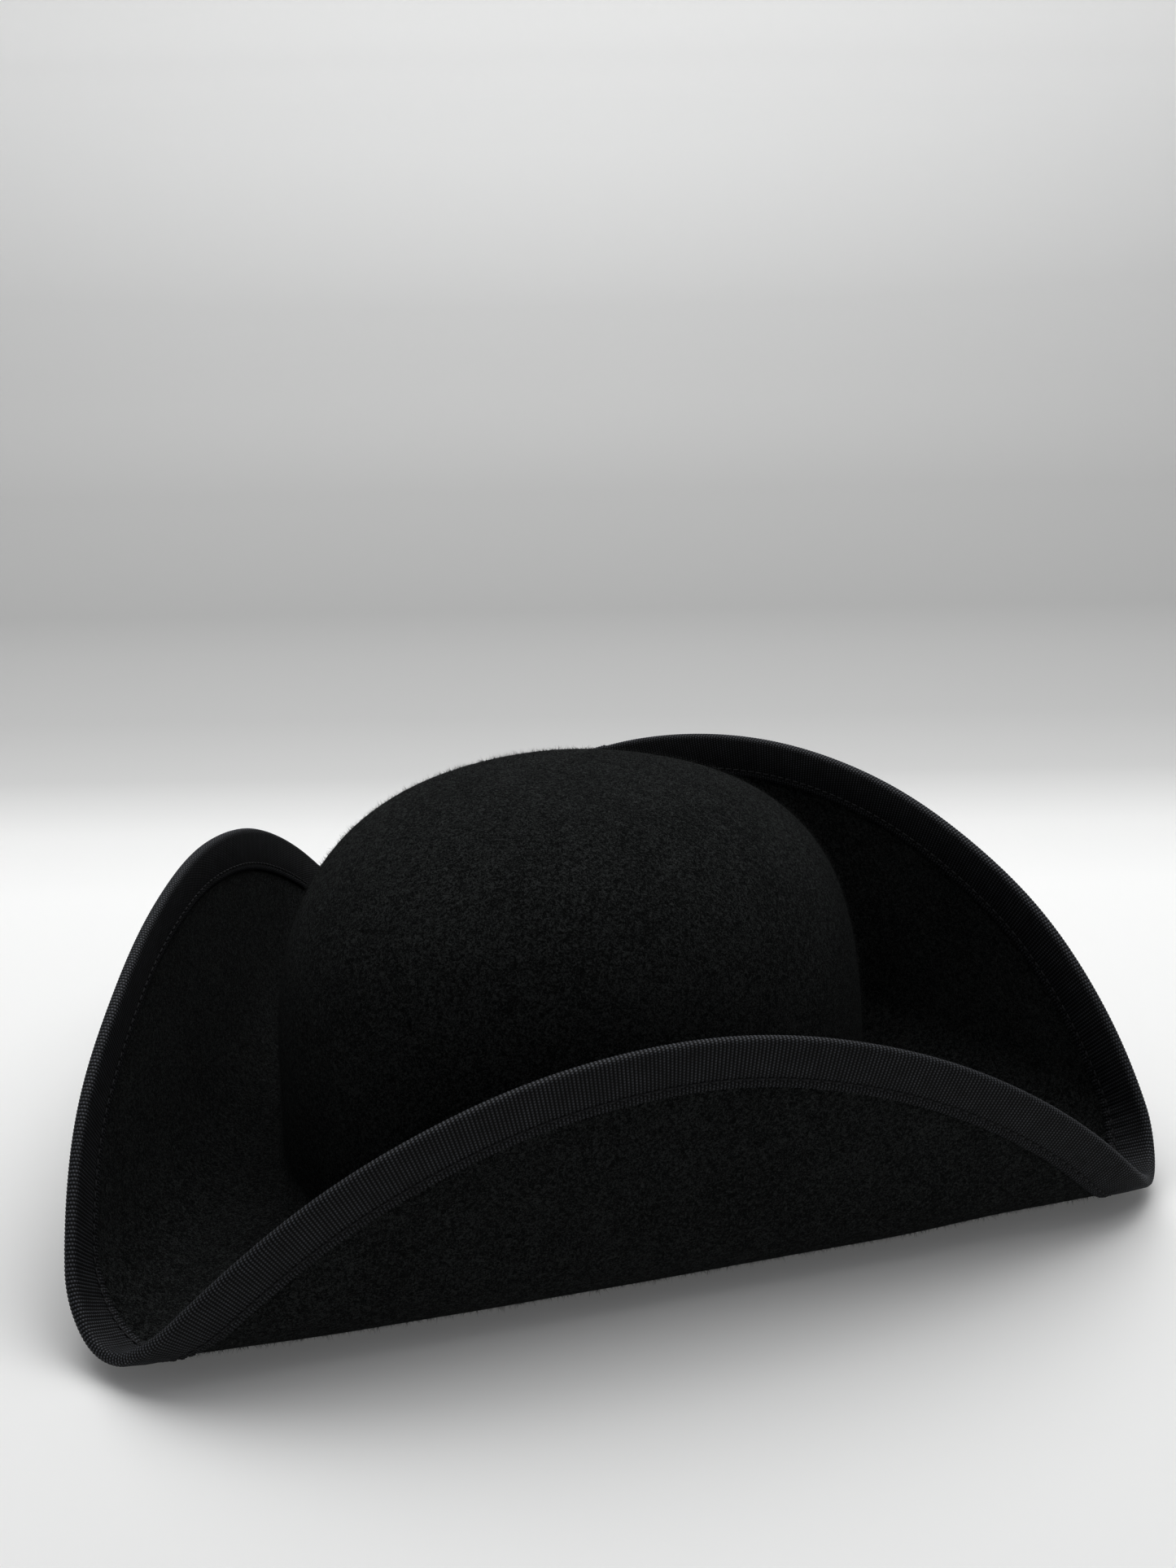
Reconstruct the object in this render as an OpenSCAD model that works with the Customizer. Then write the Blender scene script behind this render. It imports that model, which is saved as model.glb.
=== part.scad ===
// Tricorn hat: a felt crown and brim in one piece, with the brim turned up on three sides,
// a ribbon bound over its edge, and a sweatband and a lining inside the crown.
// +Z is up, the front corner points along -Y, and the hat stands on z = 0.

/* [Crown] */
// Width of the crown outside, across the hat
crown_w = 176.5; // [170:0.5:182]
// Length of the crown outside, front to back
crown_l = 204.3; // [197:0.5:210]
// Height of the crown above the middle of the brim's felt
crown_h = 118.5; // [108:0.5:128]
// How square the crown is seen from the side: 2 is an ellipse
crown_shoulder = 2.64; // [2.3:0.02:3]
// How flat the crown's top is: 2 is an ellipse
crown_top = 3.76; // [3.2:0.02:4.2]
// How far the top leans to the front
crown_lean = 1; // [0:0.5:3]
// Rise of the top towards the front, for each millimetre forward
crown_rise = 0.032; // [0:0.004:0.06]
// Radius of the flare where the crown meets the brim
flare_r = 5.4; // [4:0.2:7]

/* [Felt and brim] */
// Thickness of the felt
felt_t = 2.2; // [1.8:0.1:2.4]
// Mean width of the flat brim before it is turned up
brim_w = 92; // [84:1:96]
// Extra width at the front, less at the back
brim_front = 0.9; // [0:0.1:3]
// Extra width at the sides, less at the front and back
brim_side = 2; // [0:0.1:4]
// Extra width at the middle of each flap, less at each corner
brim_flap = 3; // [0:0.1:5]
// Rise of the brim's corners
corner_rise = 1.7; // [0.5:0.1:4]

/* [Side flaps] */
// Direction in which each side flap faces, from the front, in degrees
side_way = 58.2; // [55:0.2:61]
// Distance from the crown's centre to the fold
side_fold = 93.9; // [92:0.1:98]
// Angle that the fold turns through, in degrees
side_turn = 76; // [66:1:84]
// Radius of the fold
side_fold_r = 26; // [20:0.5:30]
// Curl of the flap above the fold, in thousandths of a turn radius per millimetre
side_curl = 4.3; // [0:0.1:6]
// How far the fold line bends in, 150 mm from its middle
side_bow = 1.6; // [0:0.2:10]

/* [Back flap] */
// Distance from the crown's centre to the fold
back_fold = 91; // [90:0.1:96]
// Angle that the fold turns through, in degrees
back_turn = 84.6; // [74:0.2:90]
// Radius of the fold
back_fold_r = 19.7; // [16:0.1:26]
// Curl of the flap above the fold, in thousandths of a turn radius per millimetre
back_curl = 1.1; // [0:0.1:4]
// How far the fold line bends in, 150 mm from its middle
back_bow = 18.6; // [8:0.2:22]

/* [Edge ribbon] */
// Width of the ribbon that shows on each face
ribbon_show = 13.3; // [10:0.1:16]
// Thickness of the ribbon
ribbon_t = 0.6; // [0.4:0.05:0.8]
// Distance from the ribbon's inner edge to its row of stitches
seam_in = 2.4; // [1.5:0.1:4]
// Number of stitches round the ribbon
ribbon_stitches = 336; // [220:4:360]

/* [Sweatband and lining] */
// Height of the sweatband
band_h = 33; // [26:1:38]
// Thickness of the sweatband
band_t = 0.9; // [0.7:0.1:1.2]
// Thickness of the lining
lining_t = 0.3; // [0.2:0.05:0.4]
// Height at which the lining starts, under the sweatband
lining_low = 20; // [16:1:24]
// Number of stitches round the sweatband
band_stitches = 120; // [90:2:150]
// Number of stitches round the lining's seam
lining_stitches = 96; // [72:2:120]

/* [Hidden] */

around = 84;              // points round the hat on the felt and the ribbon
inside = 42;              // points round the hat on the lining, the reed and the tape
gap = 0.15;               // air between one layer and the next
half_t = felt_t / 2;
deg = 180 / PI;
thread_r = 0.3;
label_t = 0.25;

// The middle of the crown wall's thickness, and the oval where the flat brim starts
wall_a = crown_w / 2 - half_t;
wall_b = crown_l / 2 - half_t;
root_a = wall_a + flare_r;
root_b = wall_b + flare_r;
top_h = crown_h - half_t;
shoulder_z = 0.62;        // share of the crown's height at which the wall turns into the shoulder
shoulder_r = pow(1 - pow(shoulder_z, crown_top), 1 / crown_shoulder);

// Each fold: direction it faces, distance, angle, radius, curl per millimetre, bow
FOLDS = [
    [[sin(side_way), -cos(side_way)], side_fold, side_turn, side_fold_r, side_curl / 1000, side_bow],
    [[-sin(side_way), -cos(side_way)], side_fold, side_turn, side_fold_r, side_curl / 1000, side_bow],
    [[0, 1], back_fold, back_turn, back_fold_r, back_curl / 1000, back_bow]];
bow_at = 150;             // where a fold's bow is measured, along the fold
rise_from = 95;           // distance from the centre at which the corners start to rise

function unit(v) = v / norm(v);
function ring(count) = [for (i = [0 : count - 1]) i * 360 / count];

// Width of the flat brim at the angle q, which is counted from the front corner towards +X
function brim_width(q) = brim_w + brim_front * cos(q) - brim_side * cos(2 * q) - brim_flap * cos(3 * q);

// How far out and up a point is when it lies s past a fold that turns by turn degrees
function turned(s, turn, r, curl) =
    let (arc = r * turn / deg,
         bent = min(s, arc) / r * deg,
         rest = max(s - arc, 0),
         half = curl * rest / 2 * deg,
         chord = half < 0.01 ? rest : rest * sin(half) / (half / deg))
    [r * sin(bent) + chord * cos(turn + half), r * (1 - cos(bent)) + chord * sin(turn + half)];

// What one fold does to the flat point p: the move along X, Y and Z
function fold_move(p, f) =
    let (along = -p.x * f[0].y + p.y * f[0].x,
         s = p * f[0] - f[1] + f[5] * pow(along / bow_at, 2),
         out = s > 0 ? turned(s, f[2], f[3], f[4]) : [0, 0],
         back = s > 0 ? out[0] - s : 0)
    [back * f[0].x, back * f[0].y, out[1]];

// The brim's mid surface, t millimetres out from the crown on the flat felt
function brim_point(q, t) =
    let (foot = [root_a * sin(q), -root_b * cos(q)],
         away = unit([sin(q) / root_a, -cos(q) / root_b]),
         p = foot + away * t,
         moves = [for (f = FOLDS) fold_move(p, f)],
         rise = corner_rise * pow(max(0, norm(p) - rise_from) / 100, 1.5))
    [p.x, p.y, rise] + moves[0] + moves[1] + moves[2];

// The crown's mid surface, at the share r of its plan and the share h of its height
function crown_point(q, r, h) =
    let (y = -wall_b * r * cos(q) - crown_lean * h)
    [wall_a * r * sin(q), y, top_h * h - crown_rise * y * h];

// The flare between crown and brim, turned by w degrees from the wall
function flare_point(q, w) =
    let (out = flare_r * (1 - cos(w)))
    [(wall_a + out) * sin(q), -(wall_b + out) * cos(q), flare_r * (1 - sin(w))];

flare_share = flare_r / top_h;

// The whole mid surface: v is 0 at the tip, 1 at the shoulder, 2 at the flare, 3 at the brim, 4 at the edge
function felt_point(q, v) =
    v < 1 ? let (r = shoulder_r * sin(90 * v))
            crown_point(q, r, pow(1 - pow(r, crown_shoulder), 1 / crown_top)) :
    v < 2 ? let (h = shoulder_z + (v - 1) * (flare_share - shoulder_z))
            crown_point(q, pow(1 - pow(h, crown_top), 1 / crown_shoulder), h) :
    v < 3 ? flare_point(q, 90 * (v - 2)) : brim_point(q, (v - 3) * brim_width(q));

// The same surface moved n along its normal, which points up on the brim and out of the crown
function felt_at(q, v, n) =
    let (dv = 0.012,
         dq = 0.6,
         down = felt_point(q, v + dv) - felt_point(q, max(v - dv, 0)),
         side = felt_point(q + dq, v) - felt_point(q - dq, v),
         up = v < 0.02 ? [0, 0, 1] : unit(cross(down, side)))
    felt_point(q, v) + n * up;

// A point on the brim, in from its edge by inset along the felt and n off its mid surface
function edge_at(q, inset, n) = felt_at(q, 4 - inset / brim_width(q), n);

edge_out = ribbon_t + gap;
half_out = half_t + gap + ribbon_t;
// The ribbon's section as points [inset from the edge, distance from the felt's middle]
binding_in = half_t + gap;
binding_section = [
    [ribbon_show, half_out], [ribbon_show / 2, half_out], [0, half_out],
    [-edge_out * 0.75, half_out * 0.6], [-edge_out, 0], [-edge_out * 0.75, -half_out * 0.6],
    [0, -half_out], [ribbon_show / 2, -half_out], [ribbon_show, -half_out],
    [ribbon_show, -binding_in], [ribbon_show / 2, -binding_in], [-gap, -binding_in],
    [-gap, binding_in], [ribbon_show / 2, binding_in], [ribbon_show, binding_in]];

// Where the hat stands: its underside on z = 0 and its box centred on the origin
edge_y = [for (q = ring(around), p = binding_section) edge_at(q, p.x, p.y).y];
stand = [0, -(min(edge_y) + max(edge_y)) / 2, half_t];

// The two triangles of the quad a, b, c, d, which run anticlockwise seen from outside
function quad(a, b, c, d) = [[a, c, b], [a, d, c]];

// Faces between the rows of a sheet of rows by cols points, closed along each row
function sheet_faces(rows, cols) =
    [for (i = [0 : rows - 2], j = [0 : cols - 1])
        let (m = (j + 1) % cols)
        each quad(i * cols + j, i * cols + m, (i + 1) * cols + m, (i + 1) * cols + j)];

// A closed ring through the sections, each a list of points
module loop_solid(sections) {
    cols = len(sections[0]);
    last = (len(sections) - 1) * cols;
    joint = [for (j = [0 : cols - 1])
        let (m = (j + 1) % cols)
        each quad(last + j, last + m, m, j)];
    polyhedron([for (s = sections) each s], concat(sheet_faces(len(sections), cols), joint));
}

// A strip with two ends through the sections
module strip_solid(sections) {
    cols = len(sections[0]);
    last = (len(sections) - 1) * cols;
    ends = [[for (j = [0 : cols - 1]) j], [for (j = [cols - 1 : -1 : 0]) last + j]];
    polyhedron([for (s = sections) each s], concat(sheet_faces(len(sections), cols), ends));
}

// A shell of the crown's shape through the rows, between the offsets n_out and n_in
module shell_solid(rows, count, n_out, n_in, tip) {
    qs = ring(count);
    n = len(rows);
    size = n * count;
    foot = size - count;
    outer = [for (v = rows, q = qs) felt_at(q, v, n_out)];
    inner = [for (v = rows, q = qs) felt_at(q, v, n_in)];
    tips = tip ? [felt_at(0, 0, n_out), felt_at(0, 0, n_in)] : [];
    inner_faces = [for (f = sheet_faces(n, count)) [for (i = f) i + size]];
    outer_faces = [for (f = sheet_faces(n, count)) [f[0], f[2], f[1]]];
    rims = [for (j = [0 : count - 1])
        let (m = (j + 1) % count)
        each concat(
            quad(foot + m, foot + j, size + foot + j, size + foot + m),
            tip ? [[2 * size, m, j], [2 * size + 1, size + j, size + m]] :
                quad(j, m, size + m, size + j))];
    polyhedron(concat(outer, inner, tips), concat(outer_faces, inner_faces, rims));
}

// A section of points [inset from the wall's middle, height] set round the crown at the angle q
function wall_section(q, outline) =
    [for (p = outline) [(wall_a - p.x) * sin(q), -(wall_b - p.x) * cos(q), p.y]];

// A straight stitch from one point to the next
module stitch(from, to, r = thread_r) {
    way = to - from;
    translate(from)
        rotate([0, acos(way.z / norm(way)), atan2(way.y, way.x)])
            cylinder(h = norm(way), r = r, $fn = 16);
}

// Insets from the wall's middle of the layers inside the crown
lining_out = half_t + gap;
lining_in = lining_out + lining_t;
band_out = lining_in + gap + label_t + gap;
band_in = band_out + band_t;
band_low = -0.4;
band_top = band_low + band_h;

felt_rows = concat([for (k = [1 : 8]) k / 8], [1.25, 1.5, 1.75, 2, 2.33, 2.67, 3],
    [for (k = [1 : 13]) 3 + k / 13]);

module felt_body() {
    color("#26282a")
        shell_solid(felt_rows, around, half_t, -half_t, true);
}

module brim_binding() {
    color("#2b2e31")
        loop_solid([for (q = ring(around)) [for (p = binding_section) edge_at(q, p.x, p.y)]]);
}

// One row of stitches along the ribbon, lying at the distance n from the felt's middle
module binding_row(n) {
    inset = ribbon_show - seam_in;
    pitch = 360 / ribbon_stitches;
    for (k = [0 : ribbon_stitches - 1])
        stitch(edge_at((k + 0.14) * pitch, inset, n), edge_at((k + 0.86) * pitch, inset, n));
}

module binding_needle_thread() {
    color("#1a1c1e")
        binding_row(half_out + thread_r + gap / 2);
}

module binding_bobbin_thread() {
    color("#1a1c1e")
        binding_row(-half_out - thread_r - gap / 2);
}

module sweatband() {
    outline = [[band_out, band_low], [band_in, band_low], [band_in, band_top], [band_out, band_top]];
    color("#1d1a18")
        loop_solid([for (q = ring(around)) wall_section(q, outline)]);
}

// The reed lies in the flare, just outside the foot of the sweatband
reed_r = 0.6;
reed_in = 0.82;
reed_z = 0.1;

module sweatband_reed() {
    outline = [for (w = [0 : 45 : 315]) [reed_in + reed_r * cos(w), reed_z + reed_r * sin(w)]];
    color("#d8d8d2")
        loop_solid([for (q = ring(inside)) wall_section(q, outline)]);
}

// The tape wraps the reed from below and stands up behind the sweatband
module reed_tape() {
    wrap_in = reed_r + 0.08;
    wrap_out = wrap_in + 0.2;
    stand_top = 12;
    half_turn = [0 : 45 : 180];
    outline = concat(
        [[reed_in + wrap_in, stand_top]],
        [for (w = half_turn) [reed_in + wrap_in * cos(w), reed_z - wrap_in * sin(w)]],
        [for (w = half_turn) [reed_in - wrap_out * cos(w), reed_z - wrap_out * sin(w)]],
        [[reed_in + wrap_out, stand_top]]);
    color("#202124")
        loop_solid([for (q = ring(inside)) wall_section(q, outline)]);
}

// Stitches along the foot of the sweatband, on the face that meets the head
module sweatband_thread() {
    z = band_low + 2.6;
    pitch = 360 / band_stitches;
    inset = band_in + thread_r + gap / 2;
    color("#2c2a28")
        for (k = [0 : band_stitches - 1])
            stitch(wall_section((k + 0.14) * pitch, [[inset, z]])[0],
                wall_section((k + 0.86) * pitch, [[inset, z]])[0]);
}

// A strip of tape over the join of the sweatband's two ends, at the back
module sweatband_join_tab() {
    outline = [[band_in + gap, 6], [band_in + gap + 0.5, 6],
        [band_in + gap + 0.5, band_top - 1], [band_in + gap, band_top - 1]];
    color("#17181a")
        strip_solid([for (q = [177.6 : 1.2 : 182.4]) wall_section(q, outline)]);
}

seam_v = 0.72;            // row of the crown where the lining's two pieces are sewn together
lining_v = 1 + (shoulder_z - lining_low / top_h) / (shoulder_z - flare_share);

module lining_side() {
    rows = concat([seam_v + 0.02, 0.86, 1], [for (k = [1 : 4]) 1 + k / 4 * (lining_v - 1)]);
    color("#141416")
        shell_solid(rows, inside, -lining_out, -lining_in, false);
}

module lining_tip() {
    rows = [for (k = [1 : 5]) k / 5 * (seam_v - 0.02)];
    color("#18181b")
        shell_solid(rows, inside, -lining_out, -lining_in, true);
}

// Stitches across the seam between the lining's tip and side
module lining_thread() {
    pitch = 360 / lining_stitches;
    n = -lining_in - thread_r - gap * 2;
    color("#0f0f10")
        for (k = [0 : lining_stitches - 1])
            stitch(felt_at(k * pitch, seam_v - 0.022, n), felt_at((k + 0.6) * pitch, seam_v + 0.022, n), 0.2);
}

// A woven tab tucked between the lining and the sweatband, standing up from low to high
module label_tab(middle, half_width, low, high) {
    out = lining_in + gap;
    outline = [[out, low], [out + label_t, low], [out + label_t, high], [out, high]];
    strip_solid([for (k = [-4 : 4]) wall_section(middle + half_width * k / 4, outline)]);
}

module size_label() {
    color("#dedbd2")
        label_tab(168, 5, 22, 44);
}

module care_label() {
    color("#e8e6e0")
        label_tab(150, 6.5, 22, 56);
}

translate(stand) {
    felt_body();
    brim_binding();
    binding_needle_thread();
    binding_bobbin_thread();
    sweatband();
    sweatband_reed();
    reed_tape();
    sweatband_thread();
    sweatband_join_tab();
    lining_side();
    lining_tip();
    lining_thread();
    size_label();
    care_label();
}
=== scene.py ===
# %% [markdown]
# # A felt tricorn, built round its CAD frame
# The hat is one piece of black wool felt: a round crown and a flat brim that is folded up on
# three sides. A ribbon is sewn over the brim's edge, and a sweatband and a satin lining sit
# inside the crown. The CAD part says where everything is. This script gives each piece its
# cloth, thread and nap. It starts by loading the part, whose nodes stay where they are.

# %% Load the frame
import math
import bpy
import bmesh
import numpy as np
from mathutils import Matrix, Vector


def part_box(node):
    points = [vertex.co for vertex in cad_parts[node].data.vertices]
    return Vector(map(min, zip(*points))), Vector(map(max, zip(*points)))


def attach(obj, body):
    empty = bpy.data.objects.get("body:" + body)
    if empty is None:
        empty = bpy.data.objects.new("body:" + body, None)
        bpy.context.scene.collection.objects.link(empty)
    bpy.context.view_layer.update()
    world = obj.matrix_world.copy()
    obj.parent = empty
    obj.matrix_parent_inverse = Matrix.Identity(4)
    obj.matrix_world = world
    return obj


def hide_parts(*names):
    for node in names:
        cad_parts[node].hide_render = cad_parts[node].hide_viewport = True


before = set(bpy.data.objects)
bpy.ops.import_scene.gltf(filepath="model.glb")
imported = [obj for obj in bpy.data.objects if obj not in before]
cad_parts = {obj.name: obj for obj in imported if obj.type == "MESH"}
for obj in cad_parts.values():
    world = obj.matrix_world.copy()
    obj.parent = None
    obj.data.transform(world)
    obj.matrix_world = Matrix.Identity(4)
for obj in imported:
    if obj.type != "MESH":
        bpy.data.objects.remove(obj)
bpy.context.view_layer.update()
mm = 0.001
print("nodes:", sorted(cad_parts))

# %% [markdown]
# ## The rule of the hat's shape
# A hatter blocks the crown on an oval form, leaves the brim flat, and then steams three folds
# into it. The same steps make a rule: a point of the felt is named by the angle q round the
# crown, from the front corner, and by how far down the felt it lies. It could be read off the
# CAD mesh, but a rule gives as many points as a fine weave needs, and every layer of the hat,
# from the ribbon to the lining, can follow it. The CAD nodes check it below.

# %% Sizes, in millimetres and degrees
felt_t = 2.2
# The crown's half width, half length and height, measured over the felt, less half the felt.
wall_a, wall_b, top_h = 88.25 - felt_t / 2, 102.15 - felt_t / 2, 118.5 - felt_t / 2
# The powers of its rounded outline, and how far it leans and rises to the front.
shoulder, top_power = 2.64, 3.76
lean, rise = 1.0, 0.032
# The radius where the crown turns out into the brim.
flare = 5.4
# The corners rise a little, from this far out.
corner_rise, rise_from = 1.7, 95
# Each fold: the way it faces from the front, how far out it starts, turn, radius, curl, bow.
folds = ((58.2, 93.9, 76, 26, 0.0043, 1.6),
         (-58.2, 93.9, 76, 26, 0.0043, 1.6),
         (180, 91, 84.6, 19.7, 0.0011, 18.6))
fold_up = [((math.sin(math.radians(w)), -math.cos(math.radians(w))), d, math.radians(turn), r, curl, bow)
           for w, d, turn, r, curl, bow in folds]
bow_span = 150
band_lo, band_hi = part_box("sweatband")
stand = np.array([0, (band_lo.y + band_hi.y) / 2 / mm, felt_t / 2])
print("crown centre at y =", round(stand[1], 2), "mm")


# %% The rule
def brim_width(q):
    """Width of the flat brim at the angle q: less at the three corners."""
    return 92 + 0.9 * np.cos(q) - 2 * np.cos(2 * q) - 3 * np.cos(3 * q)


def turned(s, turn, r, curl):
    """How far out and up a point goes when it lies s past a fold of radius r."""
    arc = r * turn
    bent = np.clip(s, 0, arc) / r
    rest = np.maximum(s - arc, 0)
    half = curl * rest / 2
    chord = rest * np.sinc(half / np.pi)
    out = r * np.sin(bent) + chord * np.cos(turn + half)
    up = r * (1 - np.cos(bent)) + chord * np.sin(turn + half)
    return out, up


def brim_point(q, t):
    """A point of the brim, t out from the crown on the flat felt."""
    a, b = wall_a + flare, wall_b + flare
    away = np.stack([np.sin(q) / a, -np.cos(q) / b], -1)
    away /= np.linalg.norm(away, axis=-1, keepdims=True)
    p = np.stack([a * np.sin(q), -b * np.cos(q)], -1) + away * t[..., None]
    out = p.copy()
    z = corner_rise * (np.maximum(np.linalg.norm(p, axis=-1) - rise_from, 0) / 100) ** 1.5
    for (nx, ny), dist, turn, r, curl, bow in fold_up:
        along = p[..., 1] * nx - p[..., 0] * ny
        s = p[..., 0] * nx + p[..., 1] * ny - dist + bow * (along / bow_span) ** 2
        h, up = turned(s, turn, r, curl)
        past = s > 0
        out += np.where(past, h - s, 0)[..., None] * np.array([nx, ny])
        z = z + np.where(past, up, 0)
    return np.concatenate([out, z[..., None]], -1)


shoulder_z = 0.62
shoulder_r = (1 - shoulder_z ** top_power) ** (1 / shoulder)
flare_z = flare / top_h


def felt_point(q, v):
    """The felt's middle: v is 0 at the tip, 1 shoulder, 2 flare, 3 brim and 4 at the edge."""
    q, v = np.broadcast_arrays(np.asarray(q, float), np.asarray(v, float))
    r_top = shoulder_r * np.sin(np.clip(v, 0, 1) * np.pi / 2)
    h_wall = shoulder_z + (np.clip(v, 1, 2) - 1) * (flare_z - shoulder_z)
    r = np.where(v < 1, r_top, (1 - h_wall ** top_power) ** (1 / shoulder))
    h = np.where(v < 1, (1 - r_top ** shoulder) ** (1 / top_power), h_wall)
    y = -wall_b * r * np.cos(q) - lean * h
    crown = np.stack([wall_a * r * np.sin(q), y, top_h * h - rise * y * h], -1)
    w = np.clip(v - 2, 0, 1) * np.pi / 2
    out = flare * (1 - np.cos(w))
    foot_z = flare * (1 - np.sin(w))
    foot = np.stack([(wall_a + out) * np.sin(q), -(wall_b + out) * np.cos(q), foot_z], -1)
    brim = brim_point(q, np.maximum(v - 3, 0) * brim_width(q))
    return np.where((v < 2)[..., None], crown, np.where((v < 3)[..., None], foot, brim))


def wavy(q, v):
    """How far hand-blocked felt strays from a perfect form: up to about 0.6 mm."""
    broad = 0.28 * np.sin(3 * q + 1.1) * np.sin(4.2 * v)
    crown = broad + 0.22 * np.sin(5 * q + 2 * v) * np.sin(2.9 * v + 0.4)
    flap = 0.30 * np.sin(7 * q + 0.6) + 0.22 * np.sin(11 * q + 2.2 * v) + 0.12 * np.sin(19 * q)
    fade = np.clip((v - 3.1) / 0.5, 0, 1)
    return crown * np.clip(v, 0, 1) * np.clip((2 - v) / 0.4, 0, 1) + flap * fade


def felt_at(q, v, n=0.0):
    """The same surface moved n outwards (upwards on the brim), in millimetres, where the hat stands."""
    q, v, n = np.broadcast_arrays(np.asarray(q, float), np.asarray(v, float), np.asarray(n, float))
    small = 0.006
    down = felt_point(q, v + small) - felt_point(q, np.maximum(v - small, 1e-4))
    side = felt_point(q + small, v) - felt_point(q - small, v)
    up = np.cross(down, side)
    up /= np.maximum(np.linalg.norm(up, axis=-1, keepdims=True), 1e-9)
    up = np.where((v < 0.004)[..., None], np.array([0, 0, 1.0]), up)
    return felt_point(q, v) + (n + wavy(q, v))[..., None] * up + stand


def edge_at(q, inset, n):
    """A point on the brim, in from its edge by inset along the felt, and n off the felt's middle."""
    return felt_at(q, 4 - inset / brim_width(q), n)


# %% How well the rule agrees with the CAD felt
node_points = np.array([v.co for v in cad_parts["felt_body"].data.vertices]) / mm
print("CAD felt box:", node_points.min(0).round(1), node_points.max(0).round(1))
grid_q, grid_v = np.meshgrid(np.linspace(0, 2 * np.pi, 361), np.linspace(0, 4, 161))
ruled = np.concatenate([felt_at(grid_q, grid_v, n).reshape(-1, 3) for n in (-felt_t / 2, felt_t / 2)])
print("ruled box:   ", ruled.min(0).round(1), ruled.max(0).round(1))

# %% [markdown]
# ## Spacing along the edge
# Ribs and stitches are evenly spaced along the edge and not in angle, so a table turns a share
# of the edge's length into its angle.

# %% Even steps along the edge
table_q = np.linspace(0, 2 * np.pi, 4001)
table_p = edge_at(table_q, 0, 0)
table_s = np.concatenate([[0], np.cumsum(np.linalg.norm(np.diff(table_p, axis=0), axis=1))])
edge_length = table_s[-1]


def edge_angle(share):
    """The angle at this share of the way round the edge."""
    return np.interp(np.asarray(share) % 1.0 * edge_length, table_s, table_q)


print("the edge is", round(edge_length), "mm long")

# %% [markdown]
# ## Tools for the pieces
# Nearly all of the hat is sheet: felt, ribbon, satin, leather cloth. A sheet starts as Blender's
# grid primitive, which is a flat cut of cloth with its own UV map, and each of its points is then
# carried to its place by a rule, as a sewer wraps flat goods round a form. Its seam is closed by
# merging doubles, and Solidify gives it its thickness.


# %% Helpers
def only(obj):
    """Make obj the one selected and active object."""
    bpy.ops.object.select_all(action="DESELECT")
    obj.select_set(True)
    bpy.context.view_layer.objects.active = obj
    return obj


def in_edit(obj, *steps):
    """Run edit-mode operators on the whole of obj."""
    only(obj)
    bpy.ops.object.mode_set(mode="EDIT")
    bpy.ops.mesh.select_all(action="SELECT")
    for step in steps:
        step()
    bpy.ops.object.mode_set(mode="OBJECT")


def sheet(name, columns, rows, place, merge=0.004):
    """A grid of cloth whose point (s, t), each from 0 to 1, goes to place(s, t), in millimetres."""
    bpy.ops.object.select_all(action="DESELECT")
    bpy.ops.mesh.primitive_grid_add(x_subdivisions=columns, y_subdivisions=rows, size=1, calc_uvs=True)
    obj = bpy.context.object
    obj.name = obj.data.name = name
    flat = np.empty(len(obj.data.vertices) * 3)
    obj.data.vertices.foreach_get("co", flat)
    flat = flat.reshape(-1, 3) + 0.5
    obj.data.vertices.foreach_set("co", (place(flat[:, 0], flat[:, 1]) * mm).ravel())
    in_edit(obj, lambda: bpy.ops.mesh.remove_doubles(threshold=merge * mm))
    only(obj)
    bpy.ops.object.shade_smooth()
    return obj


def thicken(obj, thickness, offset=0.0, even=True):
    """Give a sheet its thickness, in millimetres; a sheet that meets in one point can't be even."""
    only(obj)
    wall = obj.modifiers.new("thickness", "SOLIDIFY")
    wall.thickness = thickness * mm
    wall.offset = offset
    wall.use_even_offset = even
    bpy.ops.object.modifier_apply(modifier=wall.name)
    bpy.ops.object.shade_smooth_by_angle(angle=math.radians(50))
    return obj


def copies(name, model, centres, axes, sizes):
    """One mesh of many copies of model: axes are each copy's three directions, sizes its three scales."""
    base = np.array([v.co for v in model.data.vertices])
    faces = [list(p.vertices) for p in model.data.polygons]
    where = np.einsum("vk,mk,mkj->mvj", base, sizes, axes) + centres[:, None, :]
    n = len(base)
    mesh = bpy.data.meshes.new(name)
    mesh.from_pydata((where.reshape(-1, 3) * mm).tolist(), [],
                     [[i + m * n for i in f] for m in range(len(centres)) for f in faces])
    bpy.data.objects.remove(model)
    obj = bpy.data.objects.new(name, mesh)
    bpy.context.scene.collection.objects.link(obj)
    only(obj)
    bpy.ops.object.shade_smooth()
    return obj


def put(obj, material, slot, *nodes):
    """Dress a finished piece, let it ride on the hat, and stand it in for its CAD nodes."""
    obj.data.materials.clear()
    obj.data.materials.append(material)
    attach(obj, "root")
    if nodes:
        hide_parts(*nodes)
    print(obj.name, len(obj.data.polygons), "faces, box",
          [round(x / mm, 1) for x in obj.dimensions])
    return obj


# %% [markdown]
# ## Shader sums written as Python
# A material's pattern is a sum of waves and noises. Wiring each Math node by hand hides the sum,
# so a small class wraps a socket, and plus, times and the rest add the nodes.


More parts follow.
